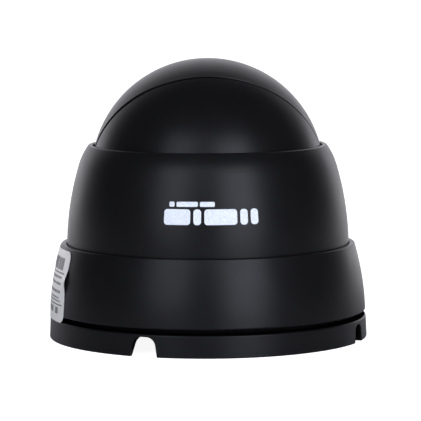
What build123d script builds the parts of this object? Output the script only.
"""Dome CCTV camera: a ball-type infrared camera head in a two-ring metal housing on a round base.

Units are millimetres. +Z is up, away from the surface that the base is fastened to, and the origin is the
centre of the base's underside. The lens looks along +Y, tilted up by LENS_ELEVATION at rest. Pieces inside
the ball are placed by t, the distance along the lens axis from the ball's centre.
"""

from build123d import *
from math import asin, cos, radians, sin, sqrt, tan
import os

os.makedirs("parts", exist_ok=True)

# ---- driving dimensions: housing ----
BASE_FOOT_R = 47.25
BASE_TOP_R = 46.95
BASE_H = 6.5
BASE_RIM = 3.7
BASE_WEB = 1.1
CABLE_BORE_R = 9.0
CABLE_COLLAR_R = 10.8
CABLE_COLLAR_TOP = 8.6
LEAD_NOTCH_ANGLES = (67.0, 247.0)
LEAD_NOTCH = (4.15, 3.2, 5.75, 2.8)
LEAD_NOTCH_LIP = 1.4
LEAD_NOTCH_POCKET_W = 14.0
TOOL_NOTCH_ANGLES = (-20.9, 159.1)
TOOL_NOTCH = (3.2, 2.5, 5.35, 2.1)
CEILING_SCREWS = 3
CEILING_SCREW_PCD_R = 30.0
CEILING_SCREW_R = 2.3
CEILING_BOSS_R = 4.3

GROOVE_TOP = 8.0
GASKET_R = (42.1, 43.2)
HOUSING_SCREW_PCD_R = 39.0
M3_R = 1.5
M3_HEAD_R = 2.75

HOUSING_ARC = (-34.42, 5.06, 81.3)
HOUSING_RIM_Z = 27.9
HOUSING_MOUTH_R = 42.05
HOUSING_FLOOR_TOP = 11.2
COLLAR_R = (35.5, 38.0)
COLLAR_TOP = 38.0

CLAMP_BOTTOM = 12.0
CLAMP_BORE_R = 38.3
CLAMP_SKIRT_R = 40.6
CLAMP_LAND_R = 41.7
CLAMP_LAND_Z = (22.7, 26.8)
CLAMP_ARC = (-42.94, 26.51, 84.84)
CLAMP_ARC_Z = (27.0, 51.5)
CLAMP_RIM_R = (34.1, 35.3)
CLAMP_TOP = 57.08
LIP_GAP = 0.5
ORING_R = 0.9
ORING_ELEVATION = 9.5
SEAT_GAP = 0.3

# ---- driving dimensions: ball and camera module ----
BALL_R = 34.6
BALL_Z = 47.98
BALL_WALL = 2.28
LENS_ELEVATION = 31.7
SEAM_T = (0.95, 1.28)
SEAM_GASKET_FLOOR_T = -0.4
SEAM_GASKET_R = 33.0
SEAM_SKEW = 1.05
SPIGOT_R = (28.9, 30.65)
SPIGOT_T = (-3.0, 8.0)
LAND_R = 30.9

FACE_T = 25.2
WINDOW_CLEAR_R = 20.6
WINDOW_SEAT_R = 22.2
WINDOW_SEAT_T = 21.4
NECK_R = 24.5
NECK_T = 19.4
GLASS_R = 21.8
GLASS_T = (22.0, 24.0)
BEZEL_R = (19.7, 22.1)

LED_BOARD_T = 11.4
BOARD_THICK = 1.6
LED_BOARD_R = 26.4
LED_BOARD_HOLE_R = 8.2
LED_COUNT = 18
LED_PCD_R = 17.4
LED_R = 2.5
LED_FLANGE_R = 2.9
LED_HEIGHT = 8.6
LED_POST_PCD_R = 24.2
POST_R = 2.2

SENSOR_BOARD = 36.0
SENSOR_POST_GRID = 29.0
SENSOR_POST_R = 2.7
HOLDER_TUBE_R = 7.5
HOLDER_BORE_R = 6.06
HOLDER_T = (1.6, 12.6)
HOLDER_SCREW_GRID = 20.0
BARREL_R = 6.0
BARREL_HEAD_R = 7.0
BARREL_T = (6.4, 13.4, 20.8)
SHROUD_R = (8.1, 10.3)
GROMMET_HOLE_R = 3.4

# ---- driving dimensions: label ----
LABEL_START = 155.0
LABEL_SWEEP = 50.7
LABEL_Z = (6.3, 27.2)
LABEL_THICK = 0.14
LABEL_GAP = 0.04

# ---- shared planes and axes ----
BALL_CENTRE = Vector(0, 0, BALL_Z)
LENS_DIR = Vector(0, cos(radians(LENS_ELEVATION)), sin(radians(LENS_ELEVATION)))
LENS_AXIS = Axis(BALL_CENTRE, LENS_DIR)
BALL_SECTION = Plane(origin=BALL_CENTRE, x_dir=(1, 0, 0), z_dir=Vector(1, 0, 0).cross(LENS_DIR))
CENTRED_UP = (Align.CENTER, Align.CENTER, Align.MIN)


def lens_plane(t):
    """The plane square to the lens axis at a distance t in front of the ball's centre."""
    return Plane(origin=BALL_CENTRE + LENS_DIR * t, x_dir=(1, 0, 0), z_dir=LENS_DIR)


def on_sphere(radius, elevation):
    """A point (r, z) of a sphere about the ball's centre, in the housing's half section."""
    angle = radians(elevation)
    return (radius * cos(angle), BALL_Z + radius * sin(angle))


def chord(radius, offset):
    """The other leg of the right triangle with this hypotenuse: a sphere's radius at a height."""
    return sqrt(radius**2 - offset**2)


def arc_point(arc, z, out=0.0):
    """A point (r, z) on an outer profile arc (centre r, centre z, radius), moved out by a distance."""
    centre_r, centre_z, radius = arc
    return (centre_r + chord(radius, z - centre_z) + out, z)


def dome_middle(half_width, rise):
    """The point (r, height) half-way along a spherical cap, measured from the cap's rim plane."""
    radius = (half_width**2 + rise**2) / (2 * rise)
    middle_r = radius * sin(asin(half_width / radius) / 2)
    return (middle_r, rise - radius + chord(radius, middle_r))


def corner(profile, point):
    """The corner of a sketch nearest to a point, both in the sketch's own coordinates."""
    return profile.vertices().sort_by_distance((point[0], point[1], 0))[0]


def save(piece, name):
    """Labels a finished piece and writes it to its own STEP file."""
    piece.part.label = name
    export_step(piece.part, f"parts/{name}.step")


def ring(axis, section, inner_r, outer_r, low, high, edge=0.0):
    """A plain turned ring about an axis, with its outer corners rounded by edge."""
    with BuildPart() as turned:
        with BuildSketch(section) as profile:
            with BuildLine():
                Polyline((inner_r, low), (outer_r, low), (outer_r, high), (inner_r, high), close=True)
            make_face()
            if edge:
                fillet(profile.vertices().sort_by(Axis.X)[-2:], radius=edge)
        revolve(axis=axis)
    return turned


def pan_screws(plane, places, shank_r, length, head_r, head_h):
    """Pan-head screws with a cross recess: heads on the plane's upper side, shanks below it."""
    with BuildPart() as screws:
        with BuildSketch(plane):
            with Locations(*places):
                Circle(head_r)
        extrude(amount=head_h)
        rims = screws.edges().filter_by(GeomType.CIRCLE).group_by(Axis(plane.origin, plane.z_dir))[-1]
        fillet(rims, radius=0.35 * head_h)
        with BuildSketch(plane):
            with Locations(*places):
                Circle(shank_r)
        extrude(amount=-length)
        with BuildSketch(plane.offset(head_h)):
            with Locations(*places):
                Rectangle(1.15 * head_r, 0.26 * head_r)
                Rectangle(0.26 * head_r, 1.15 * head_r)
        extrude(amount=-0.6 * head_h, mode=Mode.SUBTRACT)
    return screws


def polar_points(radius, count, start):
    """Evenly spaced points on a circle, the first at the angle start."""
    step = 360.0 / count
    angles = [radians(start + step * index) for index in range(count)]
    return [(radius * cos(angle), radius * sin(angle)) for angle in angles]


def corner_points(side):
    """The four corners of a square grid about the origin."""
    half = side / 2
    return [(half, half), (-half, half), (-half, -half), (half, -half)]


# ---- mounting base: an inverted dish with screw bosses, a cable bore and notches in its rim ----
web_bottom = BASE_H - BASE_WEB
rim_inner_r = BASE_FOOT_R - BASE_RIM
ceiling_places = polar_points(CEILING_SCREW_PCD_R, CEILING_SCREWS, 30)
housing_places = polar_points(HOUSING_SCREW_PCD_R, CEILING_SCREWS, 90)

with BuildPart() as mounting_base:
    with BuildSketch(Plane.XZ) as base_profile:
        with BuildLine():
            Polyline(
                (CABLE_BORE_R, web_bottom),
                (rim_inner_r, web_bottom),
                (rim_inner_r, 0),
                (BASE_FOOT_R, 0),
                (BASE_TOP_R, BASE_H),
                (CABLE_COLLAR_R, BASE_H),
                (CABLE_COLLAR_R, CABLE_COLLAR_TOP),
                (CABLE_BORE_R, CABLE_COLLAR_TOP),
                close=True,
            )
        make_face()
        fillet(corner(base_profile, (BASE_FOOT_R, 0)), radius=0.35)
        fillet(corner(base_profile, (BASE_TOP_R, BASE_H)), radius=0.4)
    revolve(axis=Axis.Z)
    with BuildSketch(Plane.XY):
        with Locations(*ceiling_places):
            Circle(CEILING_BOSS_R)
    extrude(amount=BASE_H)
    with Locations(Plane.XY.offset(BASE_H)):
        with Locations(*ceiling_places):
            CounterSinkHole(CEILING_SCREW_R, 2 * CEILING_SCREW_R, depth=BASE_H)
        with Locations(*housing_places):
            Hole(M3_R + 0.2, depth=BASE_WEB)
    for notch_angle in LEAD_NOTCH_ANGLES + TOOL_NOTCH_ANGLES:
        is_lead = notch_angle in LEAD_NOTCH_ANGLES
        foot_half_w, top_half_w, notch_top, corner_r = LEAD_NOTCH if is_lead else TOOL_NOTCH
        notch_dir = Vector(1, 0, 0).rotate(Axis.Z, notch_angle)
        across = Vector(0, 0, 1).cross(notch_dir)
        with BuildSketch(Plane(origin=notch_dir * 34, x_dir=across, z_dir=notch_dir)) as notch_profile:
            with BuildLine():
                Polyline(
                    (-foot_half_w, 0),
                    (foot_half_w, 0),
                    (top_half_w, notch_top),
                    (-top_half_w, notch_top),
                    close=True,
                )
            make_face()
            fillet(corner(notch_profile, (top_half_w, notch_top)), radius=corner_r)
            fillet(corner(notch_profile, (-top_half_w, notch_top)), radius=corner_r)
        extrude(amount=BASE_FOOT_R - 33, mode=Mode.SUBTRACT)
        # behind a notch for the lead, the rim slopes out to a thin lip at its foot
        if is_lead:
            with BuildSketch(Plane(origin=(0, 0, 0), x_dir=notch_dir, z_dir=-across)):
                with BuildLine():
                    Polyline(
                        (rim_inner_r - 2, 0),
                        (BASE_FOOT_R - LEAD_NOTCH_LIP, 0),
                        (rim_inner_r, web_bottom),
                        (rim_inner_r - 2, web_bottom),
                        close=True,
                    )
                make_face()
            extrude(amount=LEAD_NOTCH_POCKET_W / 2, both=True, mode=Mode.SUBTRACT)
save(mounting_base, "mounting_base")

# ---- gasket between the base and the housing, sunk in the groove ----
base_gasket = ring(Axis.Z, Plane.XZ, GASKET_R[0], GASKET_R[1], BASE_H, GROOVE_TOP, edge=0.5)
save(base_gasket, "base_gasket")

# ---- lower housing: tapering skirt, floor ring and the inner collar that the clamp ring screws on ----
housing_foot = arc_point(HOUSING_ARC, GROOVE_TOP)
housing_rim = arc_point(HOUSING_ARC, HOUSING_RIM_Z)
with BuildPart() as lower_housing:
    with BuildSketch(Plane.XZ) as housing_profile:
        with BuildLine():
            Line((COLLAR_R[0], GROOVE_TOP), housing_foot)
            ThreePointArc(housing_foot, arc_point(HOUSING_ARC, 18.0), housing_rim)
            Polyline(
                housing_rim,
                (HOUSING_MOUTH_R, HOUSING_RIM_Z),
                (HOUSING_MOUTH_R, 24.0),
                (42.7, 22.4),
                (44.0, 12.5),
                (43.4, HOUSING_FLOOR_TOP),
                (COLLAR_R[1], HOUSING_FLOOR_TOP),
                (COLLAR_R[1], COLLAR_TOP),
                (COLLAR_R[0], COLLAR_TOP),
                (COLLAR_R[0], GROOVE_TOP),
            )
        make_face()
        fillet(corner(housing_profile, housing_foot), radius=0.45)
        fillet(corner(housing_profile, housing_rim), radius=0.5)
        fillet(corner(housing_profile, (HOUSING_MOUTH_R, HOUSING_RIM_Z)), radius=0.25)
    revolve(axis=Axis.Z)
    with BuildSketch(Plane.XY.offset(BASE_H)):
        with Locations(*housing_places):
            Circle(2.9)
    extrude(amount=HOUSING_FLOOR_TOP - BASE_H)
    with BuildSketch(Plane.XY.offset(BASE_H)):
        with Locations(*housing_places):
            Circle(M3_R + 0.05)
    extrude(amount=4.3, mode=Mode.SUBTRACT)
save(lower_housing, "lower_housing")

# ---- screws that hold the housing down on the base, driven from below ----
screw_plane = Plane(origin=(0, 0, web_bottom), x_dir=(1, 0, 0), z_dir=(0, 0, -1))
mirrored_places = [(x, -y) for x, y in housing_places]
housing_screws = pan_screws(screw_plane, mirrored_places, M3_R, 5.2, M3_HEAD_R, 2.0)
save(housing_screws, "housing_screws")

# ---- seat ring: the low-friction cup ring that the ball sits and turns in ----
seat_r = BALL_R + SEAT_GAP
seat_low = on_sphere(seat_r, -16)
seat_high = on_sphere(seat_r, -8)
seat_bottom = COLLAR_TOP + 0.05
with BuildPart() as seat_ring:
    with BuildSketch(Plane.XZ) as seat_profile:
        with BuildLine():
            ThreePointArc(seat_low, on_sphere(seat_r, -12), seat_high)
            Polyline(
                seat_high,
                (36.9, seat_high[1]),
                (COLLAR_R[1], 41.8),
                (COLLAR_R[1], seat_bottom),
                (35.2, seat_bottom),
                (35.2, 36.4),
                (34.3, 36.4),
                (34.3, seat_bottom),
                seat_low,
            )
        make_face()
    revolve(axis=Axis.Z)
save(seat_ring, "seat_ring")

# ---- clamp ring: domed upper ring that screws down over the collar and closes round the ball ----
lip_r = BALL_R + LIP_GAP
clamp_foot = arc_point(CLAMP_ARC, CLAMP_ARC_Z[0])
clamp_shoulder = arc_point(CLAMP_ARC, CLAMP_ARC_Z[1])
oring_centre = on_sphere(BALL_R + SEAT_GAP + ORING_R, ORING_ELEVATION)
lip_low = on_sphere(lip_r, 5)
lip_mid = on_sphere(lip_r, 10)
lip_high = on_sphere(lip_r, 14)
shoulder_rise = (CLAMP_ARC[1] - clamp_shoulder[1], clamp_shoulder[0] - CLAMP_ARC[0])
rim_inner = (CLAMP_RIM_R[0], CLAMP_TOP)
rim_outer = (CLAMP_RIM_R[1], CLAMP_TOP)
with BuildPart() as clamp_ring:
    with BuildSketch(Plane.XZ) as clamp_profile:
        with BuildLine():
            Polyline(
                (CLAMP_BORE_R, CLAMP_BOTTOM),
                (CLAMP_SKIRT_R, CLAMP_BOTTOM),
                (CLAMP_SKIRT_R, CLAMP_LAND_Z[0] - 1.1),
                (CLAMP_LAND_R, CLAMP_LAND_Z[0]),
                (CLAMP_LAND_R, CLAMP_LAND_Z[1]),
                clamp_foot,
            )
            ThreePointArc(clamp_foot, arc_point(CLAMP_ARC, 41.0), clamp_shoulder)
            TangentArc(clamp_shoulder, rim_outer, tangent=shoulder_rise)
            Polyline(rim_outer, rim_inner, lip_high)
            ThreePointArc(lip_high, lip_mid, lip_low)
            Polyline(lip_low, (37.0, 47.0), (CLAMP_BORE_R, 43.6), (CLAMP_BORE_R, CLAMP_BOTTOM))
        make_face()
        fillet(corner(clamp_profile, rim_outer), radius=0.5)
        fillet(corner(clamp_profile, rim_inner), radius=0.3)
        with Locations(oring_centre):
            Circle(ORING_R + 0.05, mode=Mode.SUBTRACT)
    revolve(axis=Axis.Z)
save(clamp_ring, "clamp_ring")

# ---- O-ring in the clamp ring's lip, which grips the ball ----
with BuildPart() as clamp_oring:
    with BuildSketch(Plane.XZ):
        with Locations(oring_centre):
            Circle(ORING_R)
    revolve(axis=Axis.Z)
save(clamp_oring, "clamp_oring")

# ---- label: a thin foil sticker on the housing, reaching down over the groove to the base ----
def label_line(out):
    """The label's section from its foot on the base to its head, held out from the housing."""
    foot = (BASE_TOP_R + out, LABEL_Z[0])
    sill = arc_point(HOUSING_ARC, 8.9, out)
    Line(foot, sill)
    ThreePointArc(sill, arc_point(HOUSING_ARC, 18.0, out), arc_point(HOUSING_ARC, LABEL_Z[1], out))
    return foot, arc_point(HOUSING_ARC, LABEL_Z[1], out)


label_dir = Vector(1, 0, 0).rotate(Axis.Z, LABEL_START)
with BuildPart() as label:
    with BuildSketch(Plane(origin=(0, 0, 0), x_dir=label_dir, z_dir=label_dir.cross(Vector(0, 0, 1)))):
        with BuildLine():
            inner_foot, inner_head = label_line(LABEL_GAP)
            outer_foot, outer_head = label_line(LABEL_GAP + LABEL_THICK)
            Line(inner_foot, outer_foot)
            Line(inner_head, outer_head)
        make_face()
    revolve(axis=Axis.Z, revolution_arc=LABEL_SWEEP)
save(label, "label")

# ---- rear half of the ball, with board posts, a threaded spigot and the cable hole at its pole ----
inner_r = BALL_R - BALL_WALL
spigot_floor_r = chord(inner_r, SPIGOT_T[0])
sensor_posts = corner_points(SENSOR_POST_GRID)
with BuildPart() as ball_rear_shell:
    with BuildSketch(BALL_SECTION) as rear_profile:
        with BuildLine():
            ThreePointArc(
                (0, -BALL_R),
                (BALL_R * sin(radians(45)), -BALL_R * cos(radians(45))),
                (chord(BALL_R, SEAM_T[0]), SEAM_T[0]),
            )
            Polyline(
                (chord(BALL_R, SEAM_T[0]), SEAM_T[0]),
                (SEAM_GASKET_R + 0.1, SEAM_T[0]),
                (SEAM_GASKET_R + 0.1, SEAM_GASKET_FLOOR_T),
                (SPIGOT_R[1], SEAM_GASKET_FLOOR_T),
                (SPIGOT_R[1], SPIGOT_T[1]),
                (SPIGOT_R[0], SPIGOT_T[1]),
                (SPIGOT_R[0], SPIGOT_T[0]),
                (spigot_floor_r, SPIGOT_T[0]),
            )
            ThreePointArc(
                (spigot_floor_r, SPIGOT_T[0]),
                (inner_r * sin(radians(45)), -inner_r * cos(radians(45))),
                (0, -inner_r),
            )
            Line((0, -inner_r), (0, -BALL_R))
        make_face()
        chamfer(corner(rear_profile, (chord(BALL_R, SEAM_T[0]), SEAM_T[0])), length=0.1)
    revolve(axis=LENS_AXIS)
    # the lip is cut a little out of square, so the seam is wider on the -X side
    seam_plane = lens_plane(SEAM_T[0])
    skew_dir = seam_plane.z_dir - Vector(tan(radians(SEAM_SKEW)), 0, 0)
    skew_origin = seam_plane.origin + Vector(BALL_R, 0, 0)
    skew_plane = Plane(origin=skew_origin, x_dir=Vector(1, 0, 0), z_dir=skew_dir)
    with BuildSketch(skew_plane):
        with Locations((-BALL_R, 0)):
            Circle(BALL_R + 1)
            Circle((SPIGOT_R[1] + SEAM_GASKET_R) / 2, mode=Mode.SUBTRACT)
    extrude(amount=1.5, mode=Mode.SUBTRACT)
    post_root = -chord(inner_r, SENSOR_POST_GRID / sqrt(2)) - 1.0
    with BuildSketch(lens_plane(post_root)):
        with Locations(*sensor_posts):
            Circle(SENSOR_POST_R)
    extrude(amount=-post_root)
    with BuildSketch(lens_plane(0)):
        with Locations(*sensor_posts):
            Circle(M3_R - 0.45)
    extrude(amount=-6.5, mode=Mode.SUBTRACT)
    with BuildSketch(lens_plane(-BALL_R - 1)):
        Circle(GROMMET_HOLE_R)
    extrude(amount=BALL_WALL + 4, mode=Mode.SUBTRACT)
save(ball_rear_shell, "ball_rear_shell")

# ---- rubber ring squeezed between the two halves of the ball ----
seam_gasket_t = (SEAM_GASKET_FLOOR_T + 0.03, SEAM_T[1] - 0.03)
shell_gasket = ring(LENS_AXIS, BALL_SECTION, SPIGOT_R[1] + 0.3, SEAM_GASKET_R, *seam_gasket_t, edge=0.3)
save(shell_gasket, "shell_gasket")

# ---- front half of the ball, with the window seat, a flat face round it and posts for the LED board ----
led_posts = polar_points(LED_POST_PCD_R, 3, 90)
post_tip = LED_BOARD_T + BOARD_THICK
with BuildPart() as ball_front_shell:
    with BuildSketch(BALL_SECTION) as front_profile:
        with BuildLine():
            ThreePointArc(
                (chord(BALL_R, SEAM_T[1]), SEAM_T[1]),
                (BALL_R * cos(radians(25)), BALL_R * sin(radians(25))),
                (chord(BALL_R, FACE_T), FACE_T),
            )
            Polyline(
                (chord(BALL_R, FACE_T), FACE_T),
                (WINDOW_SEAT_R, FACE_T),
                (WINDOW_SEAT_R, WINDOW_SEAT_T),
                (WINDOW_CLEAR_R, WINDOW_SEAT_T),
                (WINDOW_CLEAR_R, NECK_T),
                (NECK_R, NECK_T),
                (NECK_R, chord(inner_r, NECK_R)),
            )
            ThreePointArc(
                (NECK_R, chord(inner_r, NECK_R)),
                (chord(inner_r, 16.0), 16.0),
                (LAND_R, chord(inner_r, LAND_R)),
            )
            Polyline(
                (LAND_R, chord(inner_r, LAND_R)),
                (LAND_R, SEAM_T[1]),
                (chord(BALL_R, SEAM_T[1]), SEAM_T[1]),
            )
        make_face()
        chamfer(corner(front_profile, (chord(BALL_R, SEAM_T[1]), SEAM_T[1])), length=0.15)
    revolve(axis=LENS_AXIS)
    with BuildSketch(lens_plane(post_tip)):
        with Locations(*led_posts):
            Circle(POST_R)
    extrude(amount=NECK_T + 1.0 - post_tip)
    with BuildSketch(lens_plane(post_tip)):
        with Locations(*led_posts):
            Circle(0.95)
    extrude(amount=5.0, mode=Mode.SUBTRACT)
save(ball_front_shell, "ball_front_shell")

# ---- window stack: gasket, glass and the retaining bezel ----
window_gasket = ring(LENS_AXIS, BALL_SECTION, WINDOW_CLEAR_R, WINDOW_SEAT_R - 0.1, WINDOW_SEAT_T, GLASS_T[0])
save(window_gasket, "window_gasket")

with BuildPart() as window_glass:
    with BuildSketch(lens_plane(GLASS_T[0])):
        Circle(GLASS_R)
    extrude(amount=GLASS_T[1] - GLASS_T[0])
    chamfer(window_glass.edges().filter_by(GeomType.CIRCLE), length=0.2)
save(window_glass, "window_glass")

with BuildPart() as window_bezel:
    with BuildSketch(BALL_SECTION):
        with BuildLine():
            Polyline(
                (BEZEL_R[0] + 0.2, GLASS_T[1]),
                (BEZEL_R[1], GLASS_T[1]),
                (BEZEL_R[1], FACE_T),
                (BEZEL_R[0] + 1.1, FACE_T),
                (BEZEL_R[0], GLASS_T[1] + 0.4),
                close=True,
            )
        make_face()
    revolve(axis=LENS_AXIS)
    with BuildSketch(lens_plane(FACE_T)):
        with Locations((BEZEL_R[1], 0), (-BEZEL_R[1], 0)):
            Rectangle(1.6, 1.2)
    extrude(amount=-0.7, mode=Mode.SUBTRACT)
save(window_bezel, "window_bezel")

# ---- LED board with its ring of infrared LEDs, screws and light sensor ----
with BuildPart() as led_board:
    with BuildSketch(lens_plane(LED_BOARD_T)):
        Circle(LED_BOARD_R)
        Circle(LED_BOARD_HOLE_R, mode=Mode.SUBTRACT)
        with Locations(*led_posts):
            Circle(1.2, mode=Mode.SUBTRACT)
    extrude(amount=BOARD_THICK)
save(led_board, "led_board")

with BuildPart(lens_plane(post_tip)) as ir_leds:
    with PolarLocations(LED_PCD_R, LED_COUNT):
        Cylinder(LED_FLANGE_R, 1.0, align=CENTRED_UP)
        Cylinder(LED_R, LED_HEIGHT - LED_R, align=CENTRED_UP)
    with Locations((0, 0, LED_HEIGHT - LED_R)):
        with PolarLocations(LED_PCD_R, LED_COUNT):
            Sphere(LED_R)
save(ir_leds, "ir_leds")

led_screw_plane = Plane(origin=lens_plane(LED_BOARD_T).origin, x_dir=(1, 0, 0), z_dir=LENS_DIR * -1)
led_screw_places = [(x, -y) for x, y in led_posts]
led_board_screws = pan_screws(led_screw_plane, led_screw_places, 0.9, 6.0, 1.8, 1.3)
save(led_board_screws, "led_board_screws")

with BuildPart() as light_sensor:
    with BuildSketch(lens_plane(post_tip)):
        with Locations((12.5, 0)):
            Ellipse(1.75, 2.4)
    extrude(amount=2.1)
    fillet(light_sensor.edges().group_by(LENS_AXIS)[-1], radius=0.3)
save(light_sensor, "light_sensor")

# ---- foam shroud that keeps the LEDs' light out of the lens ----
lens_shroud = ring(LENS_AXIS, BALL_SECTION, *SHROUD_R, post_tip, GLASS_T[0] - 0.1, edge=0.5)
save(lens_shroud, "lens_shroud")

# ---- lens holder on the sensor board: hollow square foot with ears, and a threaded tube ----
holder_screws_at = [(HOLDER_SCREW_GRID / 2, 0), (-HOLDER_SCREW_GRID / 2, 0)]
with BuildPart() as lens_holder:
    with BuildSketch(lens_plane(HOLDER_T[0])):
        RectangleRounded(15.6, 15.6, 1.5)
        with Locations(*holder_screws_at):
            Circle(2.3)
    extrude(amount=4.6)
    with BuildSketch(lens_plane(HOLDER_T[0])):
        Circle(HOLDER_TUBE_R)
    extrude(amount=HOLDER_T[1] - HOLDER_T[0])
    with BuildSketch(lens_plane(HOLDER_T[0])):
        RectangleRounded(12.4, 12.4, 0.8)
    extrude(amount=3.2, mode=Mode.SUBTRACT)
    with BuildSketch(lens_plane(HOLDER_T[0])):
        Circle(HOLDER_BORE_R)
        with Locations(*holder_screws_at):
            Circle(0.85)
    extrude(amount=HOLDER_T[1] - HOLDER_T[0], mode=Mode.SUBTRACT)
    with BuildSketch(Plane(origin=lens_plane(9.6).origin, x_dir=LENS_DIR, z_dir=(1, 0, 0))):
        Circle(0.82)
    extrude(amount=HOLDER_TUBE_R + 1, mode=Mode.SUBTRACT)
save(lens_holder, "lens_holder")

set_screw_plane = Plane(origin=lens_plane(9.6).origin + Vector(6.3, 0, 0), x_dir=LENS_DIR, z_dir=(1, 0, 0))
with BuildPart() as lens_set_screw:
    with BuildSketch(set_screw_plane):
        Circle(0.78)
    extrude(amount=2.0)
    with BuildSketch(set_screw_plane.offset(2.0)):
        RegularPolygon(0.45, 6)
    extrude(amount=-1.0, mode=Mode.SUBTRACT)
save(lens_set_screw, "lens_set_screw")

holder_screw_plane = Plane(origin=BALL_CENTRE, x_dir=(1, 0, 0), z_dir=LENS_DIR * -1)
lens_holder_screws = pan_screws(holder_screw_plane, holder_screws_at, 0.8, 5.4, 1.6, 1.2)
save(lens_holder_screws, "lens_holder_screws")

# ---- lens: threaded barrel, its retaining ring and two glass elements ----
with BuildPart() as lens_barrel:
    with BuildSketch(BALL_SECTION) as barrel_profile:
        with BuildLine():
            Polyline(
                (3.0, BARREL_T[0]),
                (5.4, BARREL_T[0]),
                (BARREL_R, BARREL_T[0] + 0.6),
                (BARREL_R, BARREL_T[1]),
                (BARREL_HEAD_R, BARREL_T[1]),
                (BARREL_HEAD_R, BARREL_T[2]),
                (6.0, BARREL_T[2]),
                (6.0, 18.4),
                (5.0, 18.4),
                (5.0, 17.2),
                (3.0, 15.0),
                (3.0, 9.0),
                (4.2, 9.0),
                (4.2, 7.2),
                (3.0, 7.2),
                close=True,
            )
        make_face()
    revolve(axis=LENS_AXIS)
    with BuildSketch(lens_plane(BARREL_T[1] + 1.0)):
        with PolarLocations(BARREL_HEAD_R + 0.25, 30):
            Circle(0.42)
    extrude(amount=3.6, mode=Mode.SUBTRACT)
save(lens_barrel, "lens_barrel")


def lens_element(radius, back, rim, rise):
    """A plano-convex glass element: flat back, cylindrical edge and a spherical front."""
    middle_r, middle_height = dome_middle(radius, rise)
    with BuildPart() as element:
        with BuildSketch(BALL_SECTION):
            with BuildLine():
                Polyline((0, rim + rise), (0, back), (radius, back), (radius, rim))
                ThreePointArc((radius, rim), (middle_r, rim + middle_height), (0, rim + rise))
            make_face()
        revolve(axis=LENS_AXIS)
    return element


front_lens = lens_element(4.9, 17.3, 18.3, 1.6)
save(front_lens, "front_lens")
rear_lens = lens_element(4.1, 7.3, 8.1, 0.8)
save(rear_lens, "rear_lens")

with BuildPart() as lens_retaining_ring:
    with BuildSketch(BALL_SECTION):
        with BuildLine():
            Polyline((4.95, 18.4), (5.9, 18.4), (5.9, 20.6), (5.6, 20.6), (4.6, 19.3), (4.95, 18.9), close=True)
        make_face()
    revolve(axis=LENS_AXIS)
save(lens_retaining_ring, "lens_retaining_ring")

# ---- sensor board with its chips, filter and connectors ----
with BuildPart() as sensor_board:
    with BuildSketch(lens_plane(0)):
        RectangleRounded(SENSOR_BOARD, SENSOR_BOARD, 1.5)
        with Locations(*sensor_posts):
            Circle(1.2, mode=Mode.SUBTRACT)
        with Locations(*holder_screws_at):
            Circle(0.95, mode=Mode.SUBTRACT)
    extrude(amount=BOARD_THICK)
save(sensor_board, "sensor_board")

sensor_board_screws = pan_screws(lens_plane(BOARD_THICK), sensor_posts, 1.0, 7.0, 2.0, 1.4)
save(sensor_board_screws, "sensor_board_screws")

with BuildPart() as image_sensor:
    with BuildSketch(lens_plane(BOARD_THICK)):
        RectangleRounded(10.0, 10.0, 0.4)
    extrude(amount=1.3)
    with BuildSketch(lens_plane(BOARD_THICK + 1.3)):
        Rectangle(6.4, 5.2)
    extrude(amount=-0.5, mode=Mode.SUBTRACT)
save(image_sensor, "image_sensor")

with BuildPart() as ir_cut_filter:
    with BuildSketch(lens_plane(BOARD_THICK + 1.35)):
        RectangleRounded(8.4, 8.4, 0.3)
    extrude(amount=0.6)
save(ir_cut_filter, "ir_cut_filter")

with BuildPart() as board_chips:
    with BuildSketch(lens_plane(0)):
        with Locations((-1.5, 2.5)):
            RectangleRounded(10.0, 10.0, 0.3)
        with Locations((10.0, 9.0)):
            RectangleRounded(5.0, 4.0, 0.2)
        with Locations((9.5, -6.0)):
            RectangleRounded(4.0, 5.0, 0.2)
    extrude(amount=-1.2)
save(board_chips, "board_chips")

with BuildPart(Plane(origin=BALL_CENTRE, x_dir=(1, 0, 0), z_dir=LENS_DIR * -1)) as board_capacitors:
    with Locations((-12.5, 6.0), (-12.5, -6.0)):
        Cylinder(2.5, 5.6, align=CENTRED_UP)
    fillet(board_capacitors.edges().group_by(LENS_AXIS)[0], radius=0.4)
save(board_capacitors, "board_capacitors")

with BuildPart() as cable_connector:
    with BuildSketch(lens_plane(0)):
        with Locations((0, -12.5)):
            Rectangle(10.5, 4.2)
    extrude(amount=-5.5)
    with BuildSketch(lens_plane(-5.5)):
        with Locations((0, -12.5)):
            Rectangle(9.1, 2.8)
    extrude(amount=4.4, mode=Mode.SUBTRACT)
save(cable_connector, "cable_connector")

with BuildPart() as board_link:
    with BuildSketch(lens_plane(BOARD_THICK)):
        with Locations((0, 14.5)):
            Rectangle(7.6, 2.5)
    extrude(amount=LED_BOARD_T - BOARD_THICK)
save(board_link, "board_link")

# ---- rubber grommet in the ball's rear pole, which the camera's lead leaves through ----
with BuildPart() as cable_grommet:
    with BuildSketch(BALL_SECTION) as grommet_profile:
        with BuildLine():
            groove_r = GROMMET_HOLE_R - 0.02
            outer_face = chord(BALL_R, groove_r) + 0.02
            inner_face = chord(inner_r, groove_r) - 0.25
            Polyline(
                (1.7, -outer_face - 0.9),
                (3.0, -outer_face - 0.9),
                (3.9, -outer_face - 0.35),
                (3.9, -outer_face),
                (groove_r, -outer_face),
                (groove_r, -inner_face),
                (4.6, -inner_face),
                (4.2, -inner_face + 2.0),
                (1.7, -inner_face + 2.0),
                close=True,
            )
        make_face()
    revolve(axis=LENS_AXIS)
save(cable_grommet, "cable_grommet")
